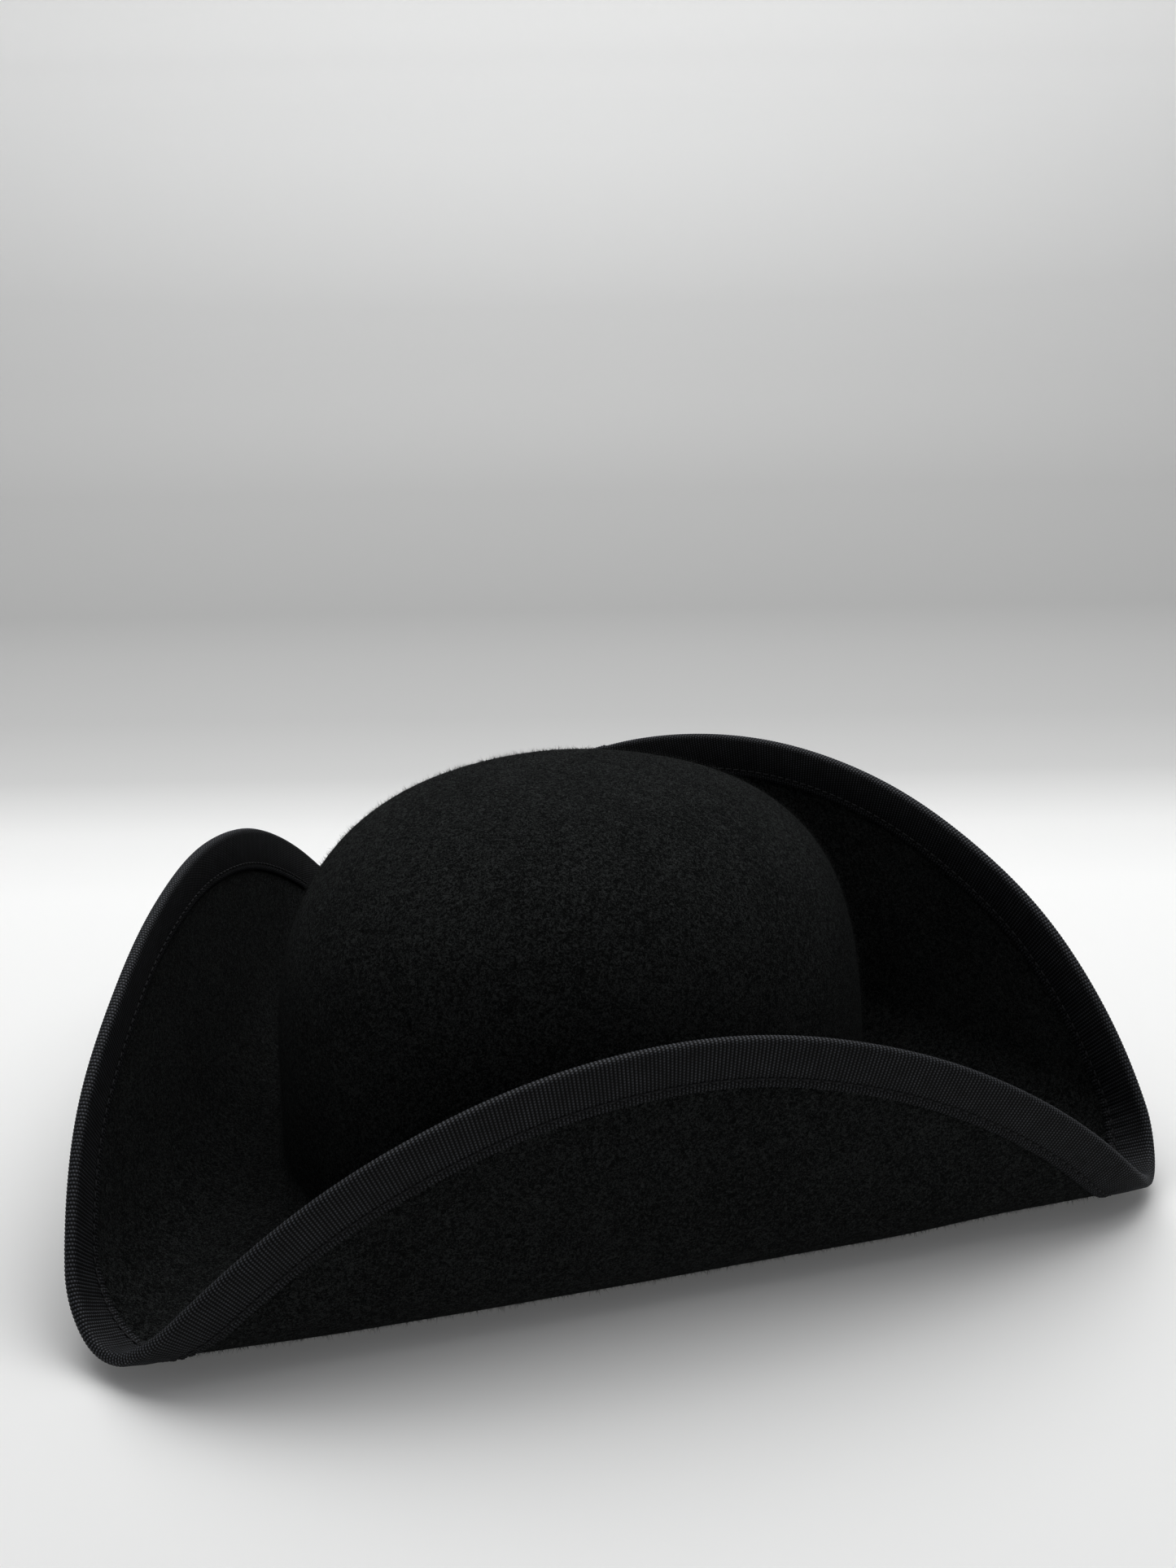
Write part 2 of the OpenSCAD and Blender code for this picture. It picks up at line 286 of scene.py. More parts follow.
# %% The wrapper
class Wire:
    """One socket of a material; arithmetic on it adds Math nodes."""

    def __init__(self, paint, socket):
        self.paint, self.socket = paint, socket

    def sum(self, how, *terms):
        return self.paint.node("ShaderNodeMath", {"operation": how}, *terms)

    def __add__(self, other):
        return self.sum("ADD", self, other)

    def __sub__(self, other):
        return self.sum("SUBTRACT", self, other)

    def __rsub__(self, other):
        return self.sum("SUBTRACT", other, self)

    def __mul__(self, other):
        return self.sum("MULTIPLY", self, other)

    def __truediv__(self, other):
        return self.sum("DIVIDE", self, other)

    def __rtruediv__(self, other):
        return self.sum("DIVIDE", other, self)

    __radd__, __rmul__ = __add__, __mul__

    def sin(self):
        return self.sum("SINE", self)

    def floor(self):
        return self.sum("FLOOR", self)

    def abs(self):
        return self.sum("ABSOLUTE", self)

    def at_least(self, other):
        return self.sum("MAXIMUM", self, other)


class Paint:
    """A material with a Principled shader, built by code."""

    def __init__(self, name, **constants):
        self.material = bpy.data.materials.new(name)
        self.material.use_nodes = True
        self.tree = self.material.node_tree
        self.shader = next(n for n in self.tree.nodes if n.type == "BSDF_PRINCIPLED")
        for socket, value in constants.items():
            self.shader.inputs[socket.replace("_", " ")].default_value = value

    def node(self, kind, settings=None, *values, out=0, **named):
        """Any node: its settings first, then the values or links of its sockets."""
        made = self.tree.nodes.new(kind)
        for key, value in (settings or {}).items():
            if key == "stops":
                while len(made.color_ramp.elements) < len(value):
                    made.color_ramp.elements.new(0.5)
                for stop, (at, colour) in zip(made.color_ramp.elements, value):
                    stop.position, stop.color = at, colour
            else:
                setattr(made, key, value)
        for key, value in [*enumerate(values), *named.items()]:
            if value is None:
                continue
            socket = made.inputs[key.replace("_", " ") if isinstance(key, str) else key]
            if isinstance(value, Wire):
                self.tree.links.new(value.socket, socket)
            else:
                socket.default_value = value
        return Wire(self, made.outputs[out])

    def place(self, scale=(1, 1, 1)):
        """Object coordinates, stretched by scale."""
        where = self.node("ShaderNodeTexCoord", out="Object")
        return self.node("ShaderNodeMapping", None, where, Scale=scale)

    def uv(self):
        """The piece's own two cloth directions, each from 0 to 1."""
        where = self.node("ShaderNodeUVMap", {"uv_map": "UVMap"})
        split = self.node("ShaderNodeSeparateXYZ", None, where)
        return split, Wire(self, split.socket.node.outputs[1])

    def noise(self, where, size, detail=3.0, roughness=0.6, distortion=0.0):
        """Soft noise whose blots are about size millimetres across."""
        return self.node("ShaderNodeTexNoise", None, Vector=where, Scale=1 / (size * mm), Detail=detail,
                         Roughness=roughness, Distortion=distortion)

    def blend(self, share, a, b):
        """Colour a where share is 0 and b where it is 1; five sockets of other kinds lie between."""
        others = [None] * 5
        return self.node("ShaderNodeMix", {"data_type": "RGBA"}, share, *others, a, b, out=2)

    def set(self, **links):
        """Link what varies over the surface to the shader's sockets."""
        for socket, wire in links.items():
            self.tree.links.new(wire.socket, self.shader.inputs[socket.replace("_", " ")])

    def bump(self, height, strength, depth, under=None):
        """Fine relief, depth millimetres deep where height goes from 0 to 1."""
        more = {"Normal": under} if under else {}
        return self.node("ShaderNodeBump", None, Height=height, Strength=strength,
                         Distance=depth * mm, **more)


# %% [markdown]
# ## Wool felt
# Felt is a mat of short curled fibres. Up close it is a field of tiny blots, some catching the
# light, and from a low angle its standing fibres give it a soft bloom. Two noises of different
# grain make the mat, a third the slow change of tone, and the shader's sheen gives the bloom.

# %% The felt's material
def wool_felt():
    """Blots of two sizes in millimetres, with rare pale flecks."""
    paint = Paint("wool_felt", Roughness=0.95, Sheen_Weight=0.03, Sheen_Roughness=0.5,
                  Sheen_Tint=(0.80, 0.86, 0.86, 1), Specular_IOR_Level=0.12)
    where = paint.place()
    mat = paint.noise(where, 0.9, 5, 0.75, 1.5)
    curl = paint.noise(where, 2.2, 5, 0.75, 2.5)
    tone = paint.noise(where, 30, 2)
    fleck = paint.noise(where, 0.5, 2, 0.5)
    share = ((mat - 0.5) * 9 + (curl - 0.5) * 4.5 + (tone - 0.5) * 0.6 + 0.30).at_least(0)
    ground = paint.blend(share, (0.003, 0.0036, 0.0038, 1), (0.070, 0.075, 0.074, 1))
    pale = (fleck - 0.72).at_least(0) * 2.5
    paint.set(Base_Color=paint.blend(pale, ground, (0.08, 0.08, 0.08, 1)),
              Normal=paint.bump(mat, 1.0, 0.6, paint.bump(curl, 0.8, 0.9)))
    return paint.material


felt_black = wool_felt()


def nap_wool():
    """Fibres take their tone from where they stand, and a few are pale lint."""
    paint = Paint("nap_wool", Roughness=0.85, Sheen_Weight=0.03, Specular_IOR_Level=0.15)
    where = paint.place()
    clump = ((paint.noise(where, 0.7, 3) - 0.5) * 8 + 0.35).at_least(0)
    lint = (paint.noise(where, 1.2, 1) - 0.69).at_least(0) * 12
    wool = paint.blend(clump, (0.004, 0.0045, 0.0045, 1), (0.066, 0.070, 0.068, 1))
    paint.set(Base_Color=paint.blend(lint, wool, (0.30, 0.30, 0.28, 1)))
    return paint.material


nap_black = nap_wool()


# %% [markdown]
# ## Grosgrain
# Grosgrain is a ribbon with stout cross threads, its ribs, under a fine skin of lengthwise
# threads. The ribs are real relief in the mesh. The lengthwise threads are far finer, so they
# are a wave on the ribbon's own UV map that steps sideways from rib to rib. Painted shade
# darkens the grooves between the ribs and a line along each seam. A painted highlight makes the
# ribbon paler along its fold, where the light from above catches it.

# %% The ribbon's material
ribs = 1004
ribbon_girth = 31.0
thread_gap = 0.82
# The widths in millimetres of the painted highlight along the fold and of the painted shade along each
# seam.
fold_highlight_width, seam_shade_width = 2.6, 0.8
print("ribs", round(edge_length / ribs, 2), "mm apart")


def grosgrain(fold, seams):
    """Ribbon folded at one share of its width, with a painted highlight along the fold and painted shade
    along each seam.
    """
    paint = Paint("grosgrain", Roughness=0.6, Sheen_Weight=0.04, Sheen_Roughness=0.35,
                  Specular_IOR_Level=0.35)
    along, across = paint.uv()
    rib = along * ribs
    crest = (rib * math.pi).sin().abs()
    step = rib.floor() * 0.5
    thread = ((across * (ribbon_girth / thread_gap) + step) * (2 * math.pi)).sin() * 0.5 + 0.5
    wear = paint.noise(paint.place(), 5, 5, 0.7)
    # Painted highlight: paler along the fold, where the light from above catches the edge.
    fold_highlight = (1 - (across - fold).abs() * (ribbon_girth / fold_highlight_width)).at_least(0)
    # Painted shade: a dark line where each seam's groove lies.
    seam_shade = 1
    for seam in seams:
        seam_shade = seam_shade - (1 - (across - seam).abs() * (ribbon_girth / seam_shade_width)).at_least(0) * 0.85
    # The colour falls nearly to black in the grooves between the ribs, as painted shade.
    share = crest * crest * crest * (thread * 0.8 + 0.1) * (wear * 1.8 - 0.1 + fold_highlight * 0.9) * seam_shade
    paint.set(Base_Color=paint.blend(share, (0.0006, 0.0007, 0.0010, 1), (0.105, 0.112, 0.126, 1)),
              Roughness=0.78 - crest * 0.22,
              Normal=paint.bump(thread, 0.7, 0.14, paint.bump(crest, 0.6, 0.18)))
    return paint.material


# %% [markdown]
# ## Thread, satin, leather cloth, tape and labels
# The other cloths are seen from below, inside the crown. An image of each would blur close to,
# so each has a weave on its UV map, worked from how many threads it has from end to
# end. The leather cloth has no threads to see. Its grain is a pattern of small cells.

# %% The other materials
def thread_black():
    """Sewing thread, whose twist shows as long blots."""
    paint = Paint("thread_black", Roughness=0.6, Sheen_Weight=0.1, Specular_IOR_Level=0.4)
    twist = paint.noise(paint.place((1, 1, 2.2)), 0.35, 3)
    paint.set(Base_Color=paint.blend(twist, (0.002, 0.002, 0.003, 1), (0.030, 0.032, 0.036, 1)),
              Normal=paint.bump(twist, 0.5, 0.08))
    return paint.material


def woven(name, dark, light, threads_along, threads_across, roughness, sheen, relief):
    """A cloth with a plain or satin weave on its UV map."""
    paint = Paint(name, Roughness=roughness, Sheen_Weight=sheen, Specular_IOR_Level=0.4)
    along, across = paint.uv()
    warp = (along * (threads_along * math.pi)).sin().abs()
    shift = (along * threads_along).floor() * (math.pi / 2)
    weft = (across * (threads_across * math.pi) + shift).sin().abs()
    cloth = warp * 0.5 + weft * 0.5
    slub = paint.noise(paint.place(), 3, 3)
    paint.set(Base_Color=paint.blend(cloth * 0.6 + slub * 0.4, dark, light),
              Normal=paint.bump(cloth, 0.35, relief))
    return paint.material


def leather_cloth():
    """Cells a millimetre across, as pressed into the coating."""
    paint = Paint("leather_cloth", Roughness=0.48, Specular_IOR_Level=0.5, Coat_Weight=0.05)
    where = paint.place()
    cells = paint.node("ShaderNodeTexVoronoi", {"feature": "DISTANCE_TO_EDGE"}, Vector=where, Scale=900)
    grain = paint.node("ShaderNodeMath", {"operation": "MINIMUM"}, cells * 6, 1.0)
    blush = paint.noise(where, 12, 3)
    tone = grain * 0.6 + blush * 0.4
    paint.set(Base_Color=paint.blend(tone, (0.006, 0.005, 0.005, 1), (0.026, 0.024, 0.023, 1)),
              Roughness=0.62 - grain * 0.16,
              Normal=paint.bump(grain, 0.5, 0.12))
    return paint.material


def clear_plastic():
    """Milky plastic with a slow haze."""
    paint = Paint("reed_plastic", Roughness=0.35, Specular_IOR_Level=0.5)
    haze = paint.noise(paint.place(), 5, 2)
    paint.set(Base_Color=paint.blend(haze, (0.50, 0.50, 0.46, 1), (0.68, 0.68, 0.63, 1)),
              Roughness=haze * 0.2 + 0.3)
    return paint.material


sewing = thread_black()
band_leather = leather_cloth()
satin = woven("lining_satin", dark=(0.006, 0.006, 0.008, 1), light=(0.020, 0.020, 0.024, 1),
              threads_along=1400, threads_across=260, roughness=0.34, sheen=0.25, relief=0.03)
tape_cloth = woven("tape_cloth", dark=(0.009, 0.009, 0.010, 1), light=(0.032, 0.033, 0.036, 1),
                   threads_along=1500, threads_across=40, roughness=0.8, sheen=0.1, relief=0.1)
label_cloth = woven("label_cloth", dark=(0.55, 0.53, 0.47, 1), light=(0.78, 0.76, 0.70, 1),
                    threads_along=60, threads_across=110, roughness=0.55, sheen=0.15, relief=0.05)
reed_plastic = clear_plastic()
print("materials:", sorted(m.name for m in bpy.data.materials))


# %% [markdown]
# ## The felt body
# The crown and brim are one cloth. Rows of points run from the edge of the brim to the tip of
# the crown, closest together where the felt bends. The last row meets in one point, which the
# merge closes. Solidify then gives the felt its 2.2 mm.

# %% Felt
felt_rows = np.concatenate([np.linspace(4, 3, 56), np.linspace(3, 2, 9)[1:], np.linspace(2, 1, 15)[1:],
                            np.linspace(1, 0, 37)[1:]])
row_share = np.linspace(0, 1, len(felt_rows))


def felt_place(s, t):
    return felt_at(2 * np.pi * s, np.interp(t, row_share, felt_rows))


hat = thicken(sheet("felt_hat", 320, len(felt_rows) - 1, felt_place), felt_t, even=False)
put(hat, felt_black, "wool_felt", "felt_body")


# %% [markdown]
# ## The ribbon over the edge
# The binding is a ribbon about 31 mm wide, folded in half over the brim's edge. Its section is
# drawn once, from its free edge on the crown side, round the edge, and back inside. The seam
# pulls a shallow groove beside each free edge. At the three corners the ribbon has cloth to
# spare, so its free edges ripple. Its two ends overlap once, at the back.

# %% Ribbon
# How much ribbon shows on a face, how far in its seam runs, and how thick it is.
show, seam_in, ribbon_t = 13.3, 2.4, 0.6
ribbon_back = felt_t / 2 + 0.15
skin = ribbon_back + ribbon_t
groove_depth = 0.34
# Each point is (how far in from the brim's edge, how far off the felt's middle).
half_section = [(show, skin - 0.30), (show - 0.15, skin), (show - 1.2, skin + 0.14),
                (show - seam_in, skin - groove_depth), (show - seam_in - 1.1, skin - 0.02),
                (6, skin + 0.03), (0.7, skin), (-0.35, skin * 0.80), (-0.75, skin * 0.42)]
seam_point = 3
turn_point = (-0.87, 0)
other_half = [(i, -n) for i, n in reversed(half_section)]
inner_section = [(show - 0.3, -ribbon_back), (0.2, -ribbon_back),
                 (0.2, ribbon_back), (show - 0.3, ribbon_back)]
section = np.array(half_section + [turn_point] + other_half + inner_section + half_section[:1])
section_share = np.linspace(0, 1, len(section))
last_face_point = 2 * len(half_section)
# Where the ends overlap, as a share of the edge, and half the overlap's length.
lap_at, half_lap = 207 / 360, 6.5
# The ribs' height, and the length of one ripple at the corners.
rib_relief, ripple_length = 0.26, 4.1


def ribbon_place(s, t):
    """The ribbon's section carried round the edge, with its ribs, ripples and lap."""
    inset = np.interp(t, section_share, section[:, 0])
    n = np.interp(t, section_share, section[:, 1])
    q = edge_angle(s)
    outside = (t < section_share[last_face_point] + 1e-6) | (t > 1 - 1e-6)
    groove = np.abs(np.sin(np.pi * s * ribs))
    tooth = np.where(inset > show - 2, 1.5, 1.0)
    relief = np.where(outside, rib_relief * tooth * (groove - 0.6), 0)
    inset = inset + np.where(outside & (inset > show - 0.5), 0.5 * (groove - 0.7), 0)
    corner = np.maximum(np.cos(3 * q), 0) ** 6
    waves = round(edge_length / ripple_length)
    ripple = corner * 0.28 * np.sin(s * waves * 2 * np.pi + 0.8 * np.sin(9 * q))
    ripple = np.where(outside, ripple * np.clip(inset / show, 0, 1) ** 2, 0)
    past = np.abs(s - lap_at) * edge_length
    lap = np.where(outside, 0.42 * np.clip((half_lap - past) / 0.5, 0, 1), 0)
    push = relief + ripple + lap
    side = np.clip(n / (skin * 0.5), -1, 1)
    return edge_at(q, inset - push * (1 - np.abs(side)), n + push * side)


section_steps = np.linalg.norm(np.diff(section, axis=0), axis=1)
real_share = np.concatenate([[0], np.cumsum(section_steps)]) / ribbon_girth


def true_width(obj):
    """Make the UV map's second direction the real way across the ribbon."""
    layer = obj.data.uv_layers.active.data
    flat = np.empty(len(layer) * 2)
    layer.foreach_get("uv", flat)
    flat[1::2] = np.interp(flat[1::2], section_share, real_share)
    layer.foreach_set("uv", flat)


ribbon = sheet("edge_ribbon", ribs * 4, len(section) - 1, ribbon_place)
true_width(ribbon)
ribbon_seams = (real_share[seam_point], real_share[last_face_point - seam_point])
ribbon_black = grosgrain(real_share[last_face_point // 2], ribbon_seams)
put(ribbon, ribbon_black, "grosgrain", "brim_binding")


# %% [markdown]
# ## Stitches
# One stitch is a short thread that swells in the middle and dives into the cloth at each end.
# It is modelled once, from a six-sided cylinder, and copied along each seam.

# %% One stitch, and seams of them
def stitch_model():
    """A thread one unit long and thick, cut into four lengths so that it can bend."""
    bpy.ops.object.select_all(action="DESELECT")
    bpy.ops.mesh.primitive_cylinder_add(vertices=6, radius=1, depth=1, end_fill_type="TRIFAN")
    one = bpy.context.object
    for height in (-0.3, 0.3, 0):
        in_edit(one, lambda: bpy.ops.mesh.bisect(plane_co=(0, 0, height), plane_no=(0, 0, 1)))
    for point in one.data.vertices:
        far = abs(point.co.z) * 2
        slim = 1 - 0.5 * far ** 3
        point.co.x *= slim
        point.co.y = point.co.y * slim - 0.9 * far ** 4
    return one


def seam(name, starts, ends, outward, radius):
    """Stitches from starts to ends, whose backs face outward."""
    way = ends - starts
    long = np.linalg.norm(way, axis=1, keepdims=True)
    z = way / long
    x = np.cross(outward, z)
    x /= np.linalg.norm(x, axis=1, keepdims=True)
    y = np.cross(z, x)
    sizes = np.concatenate([np.full_like(long, radius), np.full_like(long, radius), long], 1)
    return copies(name, stitch_model(), (starts + ends) / 2, np.stack([x, y, z], 1), sizes)


ribbon_stitches = 336
stitch_at = (np.arange(ribbon_stitches) + 0.5) / ribbon_stitches
half_stitch = 0.40 / ribbon_stitches
seam_inset = show - seam_in
thread_r, thread_lift = 0.30, 0.33


def ribbon_seam(name, side, node):
    """The row of stitches along one face of the ribbon, lying in its groove."""
    n = side * (skin - groove_depth + thread_lift)
    a, b = (edge_at(edge_angle(stitch_at + d), seam_inset, n) for d in (-half_stitch, half_stitch))
    middle = edge_angle(stitch_at)
    up = edge_at(middle, seam_inset, n + side) - edge_at(middle, seam_inset, n)
    put(seam(name, a, b, up, thread_r), sewing, "thread", node)


ribbon_seam("ribbon_seam_inside", 1, "binding_needle_thread")
ribbon_seam("ribbon_seam_outside", -1, "binding_bobbin_thread")


# %% [markdown]
# ## Inside the crown
# The sweatband is a strip of leather cloth, stitched at its foot to a tape that holds a thin
# reed. The lining has a side and a tip. None of it has been seen on this hat, so it follows
# how felt hats are made, in the places that the CAD nodes give.

# %% Sweatband, reed and tape
# The gap between neighbours, and the room that lining, labels and band take up.
gap, lining_t, label_t, band_t = 0.15, 0.3, 0.25, 0.9
lining_out = felt_t / 2 + gap
band_out = lining_out + lining_t + gap + label_t + gap
band_low, band_top = band_lo.z / mm, band_hi.z / mm
# The stitches run this far up from the band's foot, and a crease this far down from its top.
foot_seam, top_crease = 2.6, 3.2


def wall_at(q, inset, z):
    """A point inset from the middle of the crown's wall, z above the floor."""
    q, inset, z = np.broadcast_arrays(q, inset, z)
    return np.stack([(wall_a - inset) * np.sin(q), -(wall_b - inset) * np.cos(q) + stand[1], z], -1)


def band_place(s, t):
    """The sweatband, pressed in at its crease and its seam, and a little wavy at the top."""
    q = -2 * np.pi * s
    z = band_low + t * (band_top - band_low)
    crease = 0.25 * np.exp(-((z - band_top + top_crease) / 0.5) ** 2)
    crease += 0.3 * np.exp(-((z - band_low - foot_seam) / 0.9) ** 2)
    soft = 0.18 * np.sin(9 * q + 1) * t + 0.12 * np.sin(17 * q) * t
    edge = 0.35 * np.sin(6 * q + 0.4) * np.where(t > 0.98, 1, 0)
    return wall_at(q, band_out + band_t / 2 + 0.1 + soft * 0.5 - crease * 0.5, z - np.abs(edge))


band = thicken(sheet("sweatband_strip", 240, 44, band_place), band_t)
put(band, band_leather, "sweatband", "sweatband")

reed_r, reed_in, reed_z = 0.6, 0.82, 0.1 + stand[2]
tape_t, tape_r, tape_height = 0.2, reed_r + 0.18, 11


def reed_place(s, t):
    """A thin round rod bent to the crown's oval."""
    turn = 2 * np.pi * t
    return wall_at(2 * np.pi * s, reed_in - reed_r * np.cos(turn), reed_z + reed_r * np.sin(turn))


put(sheet("reed", 200, 10, reed_place), reed_plastic, "reed", "sweatband_reed")


def tape_place(s, t):
    """The tape comes down the wall and turns half a circle under the reed."""
    bend = np.pi * tape_r
    far = t * (tape_height + bend)
    turn = np.clip((far - tape_height) / bend, 0, 1) * np.pi
    z = reed_z + np.maximum(tape_height - far, 0) - tape_r * np.sin(turn)
    return wall_at(-2 * np.pi * s, reed_in + tape_r * np.cos(turn), z)


tape = thicken(sheet("reed_tape_strip", 220, 26, tape_place), tape_t)
put(tape, tape_cloth, "tape", "reed_tape")


# %% Lining
# The tip is sewn to the side above the shoulder, and the side ends this high, behind the band.
seam_v, lining_low, satin_t = 0.72, 20, 0.25
lining_low_v = 1 + (shoulder_z - lining_low / top_h) / (shoulder_z - flare_z)


def fullness(q, v):
    """How far the satin stands off the felt: 46 gathers, gone at the tip and under the band."""
    free = np.clip((1.62 - v) / 0.25, 0, 1)
    gather = (0.5 + 0.5 * np.sin(46 * q + 1.4 * np.sin(5 * q))) * np.clip((v - 0.4) / 0.3, 0, 1)
    slow = 0.5 + 0.5 * np.sin(7 * q + 4 * v) * np.clip(v / 0.6, 0, 1) ** 2
    return free * (0.55 * gather + 0.5 * slow) + 0.15


def side_place(s, t):
    q, v = 2 * np.pi * s, seam_v + t * (lining_low_v - seam_v)
    return felt_at(q, v, -lining_out - fullness(q, v))


def tip_place(s, t):
    q, v = 2 * np.pi * s, (seam_v + 0.004) * (1 - t)
    sag = 0.9 * (1 - (v / seam_v) ** 2)
    return felt_at(-q, v, -lining_out - fullness(-q, v) - sag)


side = thicken(sheet("lining_side_cloth", 368, 30, side_place), satin_t, 1)
put(side, satin, "satin", "lining_side")
tip = thicken(sheet("lining_tip_cloth", 368, 24, tip_place), satin_t, -1, even=False)
put(tip, satin, "satin", "lining_tip")


# %% Seams of the sweatband and the lining
crown_middle = np.array([0, stand[1], 45.0])


def foot_line(q):
    return wall_at(q, band_out + band_t + 0.14, band_low + foot_seam + 0 * q)


def tip_line(q):
    return felt_at(q, seam_v, -lining_out - fullness(q, seam_v) - 0.35)


def ring_seam(name, count, line, radius, share, node):
    """Stitches along a line round the crown, each as long as its share of a step."""
    q = (np.arange(count) + 0.5) * 2 * np.pi / count
    half = share * np.pi / count
    a, b = line(q - half), line(q + half)
    inward = crown_middle - (a + b) / 2
    put(seam(name, a, b, inward, radius), sewing, "thread", node)


ring_seam("sweatband_seam", 120, foot_line, radius=0.28, share=0.72, node="sweatband_thread")
ring_seam("lining_seam", 220, tip_line, radius=0.2, share=0.7, node="lining_thread")


# %% [markdown]
# ## Tab and labels
# A strip of tape covers the join of the sweatband at the back. Two blank woven labels are
# tucked behind the sweatband, and lean a little into the crown where it lets them go.

# %% Join tab and labels
label_in, label_foot = lining_out + lining_t + gap + 0.12, 22 + stand[2]


def flag(name, middle, half_width, low, high, inset, leans, thickness, material, slot, node):
    """A small strip of cloth, middle and half_width in degrees round the crown's wall."""
    def place(s, t):
        z = low + t * (high - low)
        free = np.maximum(z - band_top, 0)
        q = math.radians(middle) + math.radians(half_width) * (1 - 2 * s)
        return wall_at(q, inset + leans * free ** 1.2 / 12 + 0.1 * leans * np.sin(5 * s) * free / 10, z)
    return put(thicken(sheet(name, 28, 40, place), thickness), material, slot, node)


flag("band_join_tab", 180, 2.4, low=6 + stand[2], high=band_top - 1,
     inset=band_out + band_t + gap + 0.25, leans=0, thickness=0.45,
     material=tape_cloth, slot="tape", node="sweatband_join_tab")
size_tab = flag("size_tab", 168, 5, low=label_foot, high=44 + stand[2],
                inset=label_in, leans=2.6, thickness=0.22,
                material=label_cloth, slot="label", node="size_label")
care_tab = flag("care_tab", 150, 6.5, low=label_foot, high=56 + stand[2],
                inset=label_in, leans=2.0, thickness=0.22,
                material=label_cloth, slot="label", node="care_label")


# %% [markdown]
# ## Nap
# Felt is fuzzy: fibre ends stand a millimetre or two off it and blur its outline. Particle hair
# would not leave the scene as a mesh, so each fibre is a three-sided spike, modelled once and
# scattered evenly over the felt by area. Those that would poke into the floor are left out.

# %% Nap
fibre_lean, stray_lift, stray_share, stray_length = (14, 60), 22, 0.3, 1.6
fibre_length, fibre_width = (0.5, 1.5), (0.032, 0.055)
clear_of_floor = 0.1


def nap(name, count, v_lo, v_hi, side, seed):
    """Fibres on one side of the felt, drawn six times over and then thinned to an even spread."""
    rng = np.random.default_rng(seed)
    q, v = rng.uniform(0, 2 * np.pi, 6 * count), rng.uniform(v_lo, v_hi, 6 * count)
    n = side * felt_t / 2
    p = felt_at(q, v, n)
    area = np.linalg.norm(np.cross(felt_at(q + 0.003, v, n) - p, felt_at(q, v + 0.003, n) - p), axis=1)
    kept = np.flatnonzero(rng.uniform(0, np.quantile(area, 0.995), len(area)) < area)[:count]
    q, v, p = q[kept], v[kept], p[kept]
    up = felt_at(q, v, n + side) - p
    up /= np.linalg.norm(up, axis=1, keepdims=True)
    drift = rng.normal(size=(len(q), 3))
    drift -= (drift * up).sum(1, keepdims=True) * up
    drift /= np.linalg.norm(drift, axis=1, keepdims=True)
    stray = rng.uniform(size=len(q)) < stray_share
    lift = np.radians(rng.uniform(*fibre_lean, len(q)) + stray_lift * stray)[:, None]
    z = up * np.sin(lift) + drift * np.cos(lift)
    x = np.cross(z, up)
    x /= np.linalg.norm(x, axis=1, keepdims=True)
    long = rng.uniform(*fibre_length, len(q)) * np.where(stray, stray_length, 1)
    wide = rng.uniform(*fibre_width, len(q))
    bpy.ops.object.select_all(action="DESELECT")
    bpy.ops.mesh.primitive_cone_add(vertices=3, radius1=1, radius2=0, depth=1)
    spike = bpy.context.object
    in_edit(spike, lambda: bpy.ops.transform.translate(value=(0, 0, 0.48)))
    turn, size = np.stack([x, np.cross(z, x), z], 1), np.stack([wide, wide, long], 1)
    clear = p[:, 2] + z[:, 2] * long > clear_of_floor
    fibres = copies(name, spike, p[clear], turn[clear], size[clear])
    put(fibres, nap_black, "wool_felt")


ribbon_starts = 3.86
nap("nap_crown", 48000, 0.01, 2.0, side=1, seed=11)
nap("nap_brim_top", 48000, 2.0, ribbon_starts, side=1, seed=12)
nap("nap_brim_under", 44000, 3.0, ribbon_starts, side=-1, seed=13)


# %% [markdown]


# %% [markdown]
# ## Floor, light and camera
# The hat stands on a pale floor that curves up into a low wall all round, far enough out for
# the camera to go anywhere inside it. Four broad soft lights hang round it, the strongest behind,
# a fifth washes the backdrop, and the world fills in faintly.

# %% Floor
view_turn = math.radians(41.676)
toward = np.array([math.sin(view_turn), -math.cos(view_turn), 0])
wall_height, under_hat = 1100, 0.05


def floor_place(s, t):
    """A round floor whose outer half climbs, ever more steeply, into a wall."""
    reach = np.interp(t, [0, 0.5, 0.75, 1], [0.0, 1500.0, 2300.0, 2500.0])
    climb = wall_height * np.maximum(2 * t - 1, 0) ** 2.2
    return np.stack([reach * np.sin(2 * np.pi * s), -reach * np.cos(2 * np.pi * s), climb - under_hat], -1)


# The floor's tone at so many metres behind the hat, and where the count starts: painted shade in a band
# from about 0.3 to 1 m, paler again up the wall.
painted_shade_tones = ((0, 0.69), (0.2, 0.67), (0.27, 0.60), (0.343, 0.43), (0.43, 0.36), (0.543, 0.32), (0.63, 0.28),
         (0.95, 0.32), (1.3, 0.42), (1.72, 0.53), (2.1, 0.72), (2.5, 0.86))
tones_start, tones_end = 0.029, painted_shade_tones[-1][0]


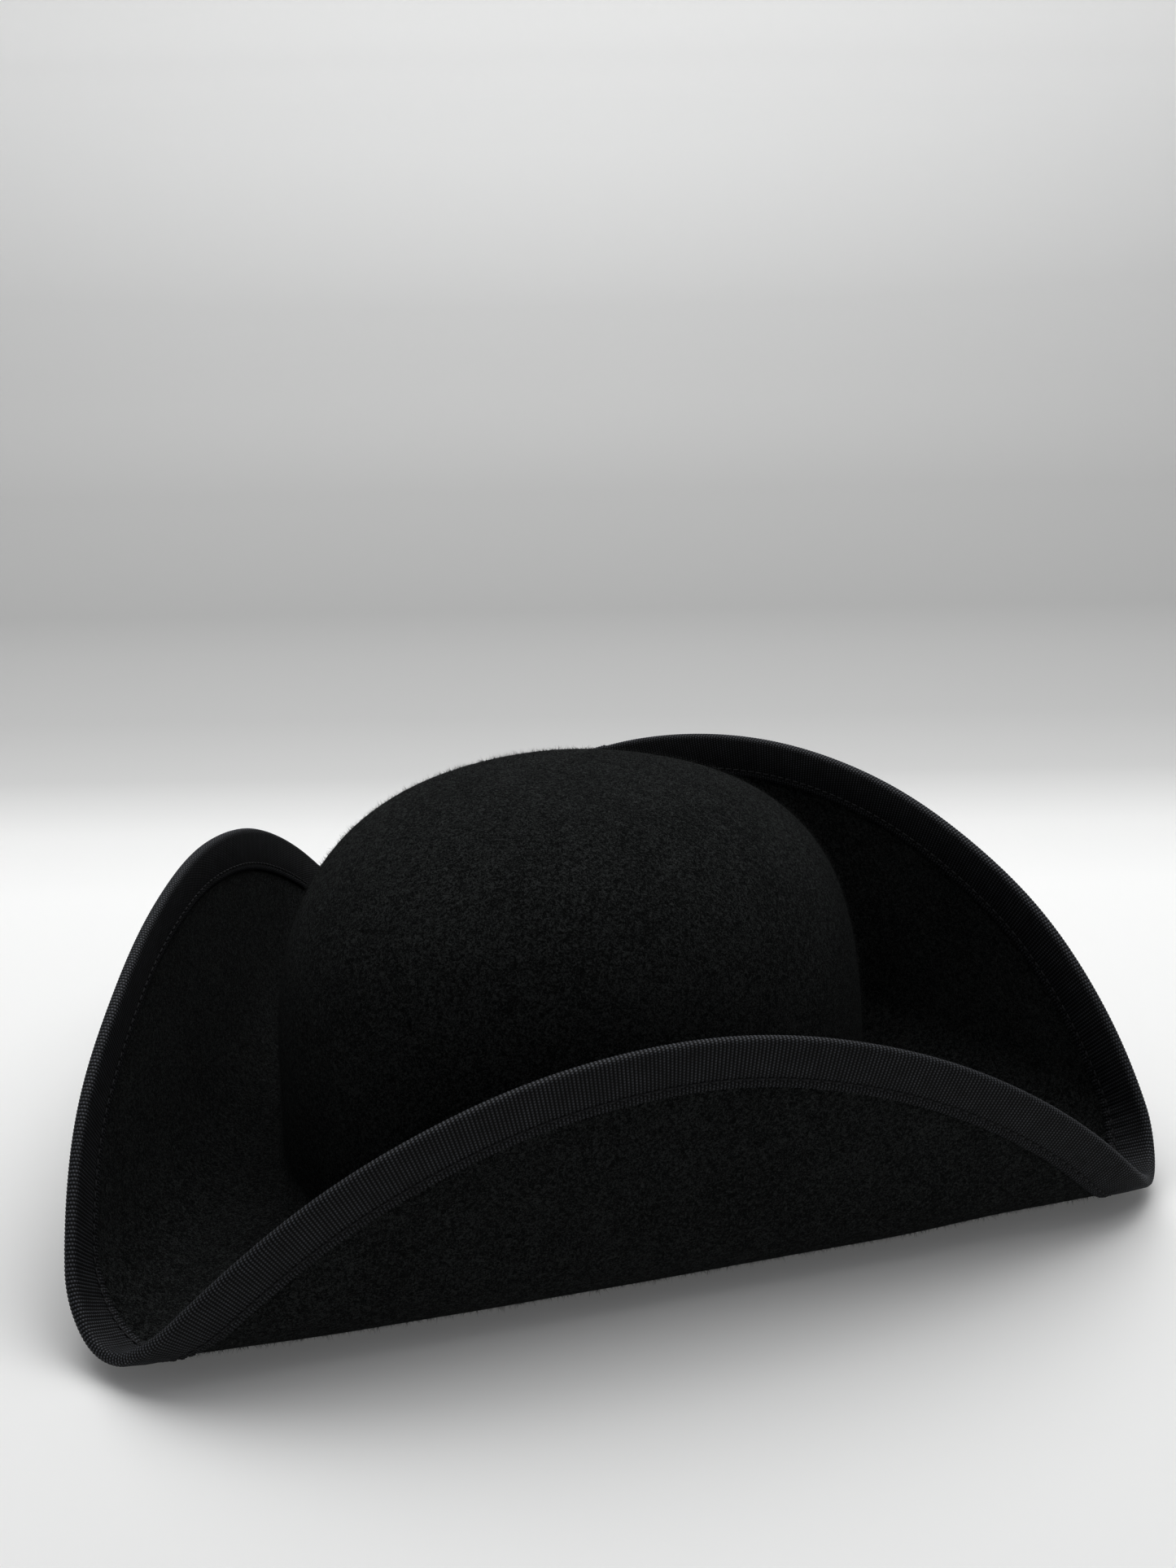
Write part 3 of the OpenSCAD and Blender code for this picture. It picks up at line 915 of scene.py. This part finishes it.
def floor_paint():
    """Pale paint with painted shade in a band behind the hat, paler again up the wall, and a faint glow,
    painted light that lifts the shadows on it.
    """
    # The floor glows faintly: painted light that lifts the shadows on it.
    paint = Paint("floor_paint", Roughness=0.9, Specular_IOR_Level=0.1, Emission_Color=(1, 1, 1, 1),
                  Emission_Strength=0.14)
    far = paint.node("ShaderNodeVectorMath", {"operation": "DOT_PRODUCT"}, paint.place(),
                     tuple(-toward), out="Value")
    # The colour follows the tones by distance behind the hat: painted shade in a band, paler up the wall.
    stops = [(r / tones_end, (v, v, v * 0.992, 1)) for r, v in painted_shade_tones]
    sweep = paint.node("ShaderNodeValToRGB", {"stops": stops}, (far - tones_start) / tones_end)
    paint.set(Base_Color=sweep)
    return paint.material


floor = sheet("floor", 96, 48, floor_place)
floor.data.materials.append(floor_paint())

# %% Light
hat_centre = np.array([0, stand[1] * mm, 0.06])


def soft_light(name, place, aim, size, watts):
    """A round soft box at place that shines at aim."""
    lamp = bpy.data.lights.new(name, "AREA")
    lamp.shape, lamp.size, lamp.energy = "DISK", size, watts
    obj = bpy.data.objects.new(name, lamp)
    bpy.context.scene.collection.objects.link(obj)
    obj.location = place
    from_aim = Vector(place) - Vector(aim)
    obj.rotation_euler = from_aim.to_track_quat("Z", "Y").to_euler()


beside = np.array([-toward[1], toward[0], 0])


def above(forward, sideways, height):
    """So many metres from the hat: to the viewer, to the viewer's right, and up."""
    return hat_centre + toward * forward + beside * sideways + np.array([0, 0, height])


soft_light("behind", above(-0.45, 0, 1.2), hat_centre, 1.6, 11.8)
soft_light("behind_left", above(-0.5, -0.6, 1.1), hat_centre, 1.2, 4.2)
soft_light("right", above(-0.1, 0.6, 1.3), hat_centre, 1.2, 7.0)
soft_light("front", above(0.5, 0, 1.3), hat_centre, 1.2, 1.9)
soft_light("backdrop", above(-1.0, 0, 1.5), above(-2.4, 0, 0.5), 1.2, 16)
world = bpy.data.worlds.new("studio")
world.use_nodes = True
world.node_tree.nodes["Background"].inputs["Color"].default_value = (0.93, 0.95, 1.0, 1)
world.node_tree.nodes["Background"].inputs["Strength"].default_value = 0.17
bpy.context.scene.world = world
bpy.context.scene.view_settings.view_transform = "Standard"
bpy.context.scene.view_settings.gamma = 0.72


# %% Camera
def aim_camera(elevation, distance, yaw, pitch, roll, lens):
    """The camera stands at a turn and a height round the crown, and is then turned a little."""
    up = np.array([0, 0, 1.0])
    el, yaw, pitch, roll = (math.radians(a) for a in (elevation, yaw, pitch, roll))
    back = toward * math.cos(el) + up * math.sin(el)
    place = np.array([0, stand[1] * mm, (50 + felt_t / 2) * mm]) + back * distance
    right = np.cross(-back, up)
    right /= np.linalg.norm(right)
    lift = np.cross(right, -back)
    level = right * math.sin(yaw) - back * math.cos(yaw)
    look = level * math.cos(pitch) + lift * math.sin(pitch)
    side = np.cross(look, up)
    side /= np.linalg.norm(side)
    top = np.cross(side, look)
    side, top = side * math.cos(roll) + top * math.sin(roll), top * math.cos(roll) - side * math.sin(roll)
    camera = bpy.data.objects.new("camera", bpy.data.cameras.new("camera"))
    bpy.context.scene.collection.objects.link(camera)
    camera.data.lens = lens
    camera.data.clip_start, camera.data.clip_end = 0.02, 20
    turn = Matrix(np.stack([side, top, -look], 1).tolist())
    camera.matrix_world = turn.to_4x4()
    camera.location = place
    bpy.context.scene.camera = camera


aim_camera(elevation=24.478, distance=0.7569, yaw=0.385, pitch=4.741, roll=-0.789, lens=53.55)
